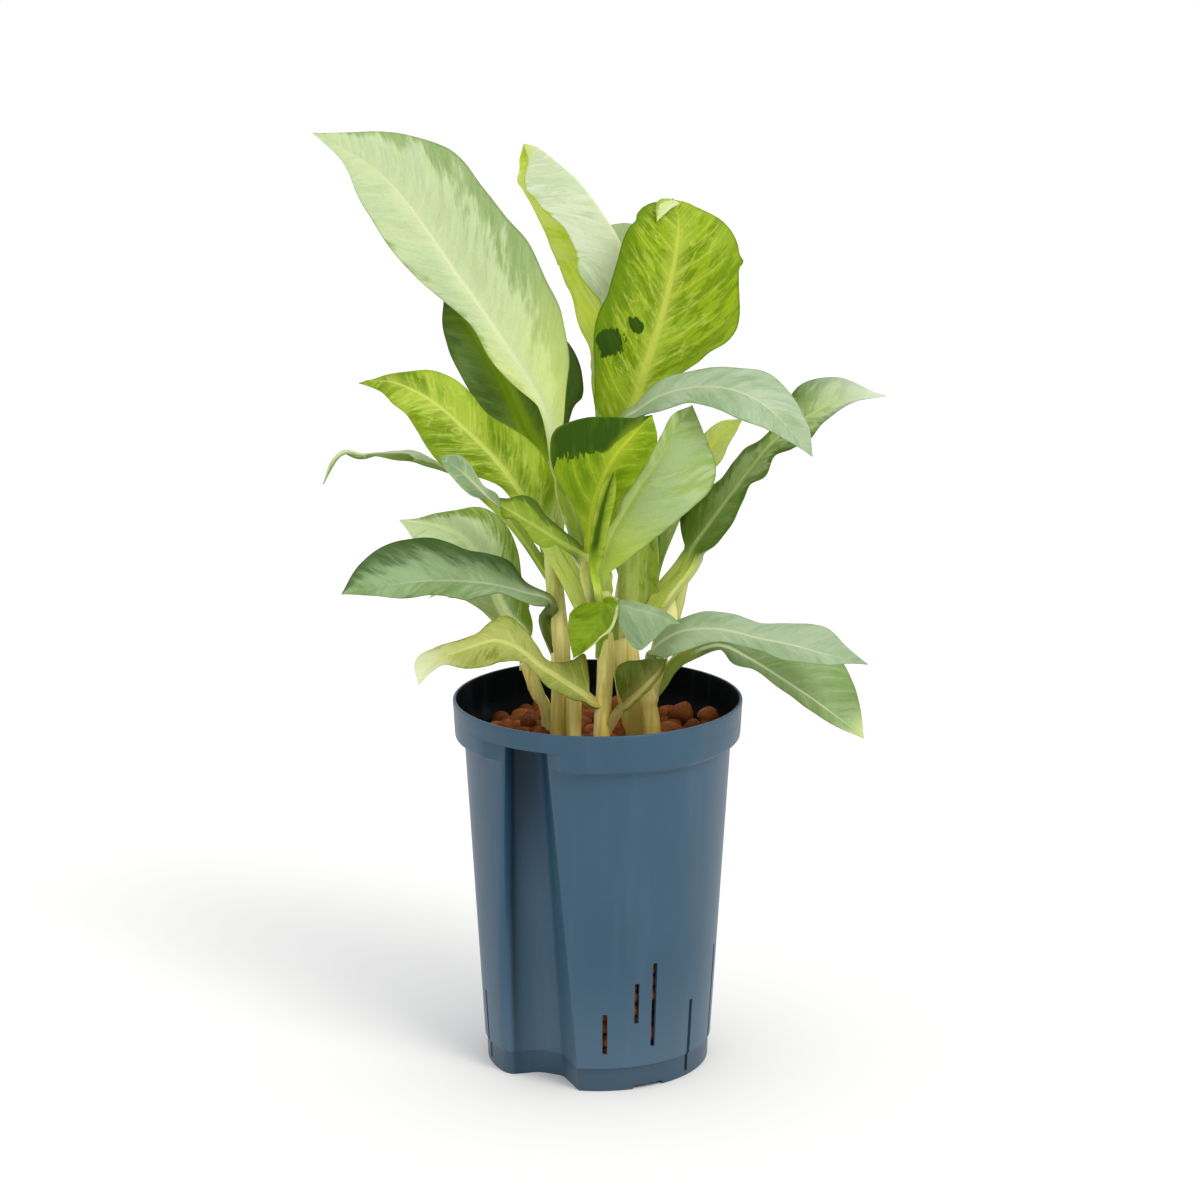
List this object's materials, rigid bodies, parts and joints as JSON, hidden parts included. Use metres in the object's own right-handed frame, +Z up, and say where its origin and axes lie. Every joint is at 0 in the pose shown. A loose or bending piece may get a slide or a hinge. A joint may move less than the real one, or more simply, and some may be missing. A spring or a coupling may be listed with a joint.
{
  "type": "potted chinese evergreen",
  "caption": "Chinese evergreen with wavy silver-green leaves on pale canes, in a slotted hydroculture pot filled with clay granules.",
  "frame": {"origin": "centre of the pot's base, on the ground", "axes": "+Z up along the pot's axis, -Y the front with the gauge channel to the left, +X to the right seen from the front"},
  "size_m": [0.2901, 0.193, 0.4843],
  "materials": {
    "pot_plastic": "satin moulded polypropylene, slate blue",
    "clay": "porous fired clay granules, matte red-brown",
    "cane": "smooth fleshy cane, cream with faint rings",
    "leaf_silver": "satin living leaf, silver-green centre with green margins",
    "leaf_lime": "satin living leaf lit from behind, yellow-green",
    "leaf_dark": "satin living leaf, dark green with a pale midrib"
  },
  "bodies": {
    "root": {"pot": "pot_plastic", "clay_granules": "clay", "stem_left": "cane", "stem_stub": "cane", "stem_centre": "cane", "stem_back": "cane", "stem_right": "cane", "stem_small": "cane", "leaf_tall_left": "leaf_silver", "leaf_dark_behind": "leaf_dark", "leaf_folded_top": "leaf_silver", "leaf_pale_behind": "leaf_silver", "leaf_lime_right": "leaf_lime", "leaf_grey_arch": "leaf_silver", "leaf_wavy_right": "leaf_dark", "leaf_young_right": "leaf_lime", "leaf_centre": "leaf_silver", "leaf_bent_front": "leaf_lime", "leaf_lime_left": "leaf_lime", "leaf_edge_on": "leaf_silver", "leaf_twisted": "leaf_silver", "leaf_rolled": "leaf_lime", "leaf_back_left": "leaf_silver", "leaf_silver_left": "leaf_silver", "leaf_low_left": "leaf_lime", "leaf_front_nod": "leaf_silver", "leaf_front_dome": "leaf_lime", "leaf_low_right": "leaf_silver", "leaf_hanging_right": "leaf_dark", "leaf_small_front": "leaf_dark", "leaf_rear_middle": "leaf_silver", "leaf_rear_left": "leaf_silver", "leaf_rear_tall": "leaf_silver", "leaf_rear_right": "leaf_silver", "leaf_rear_low": "leaf_silver"}
  },
  "joints": []
}
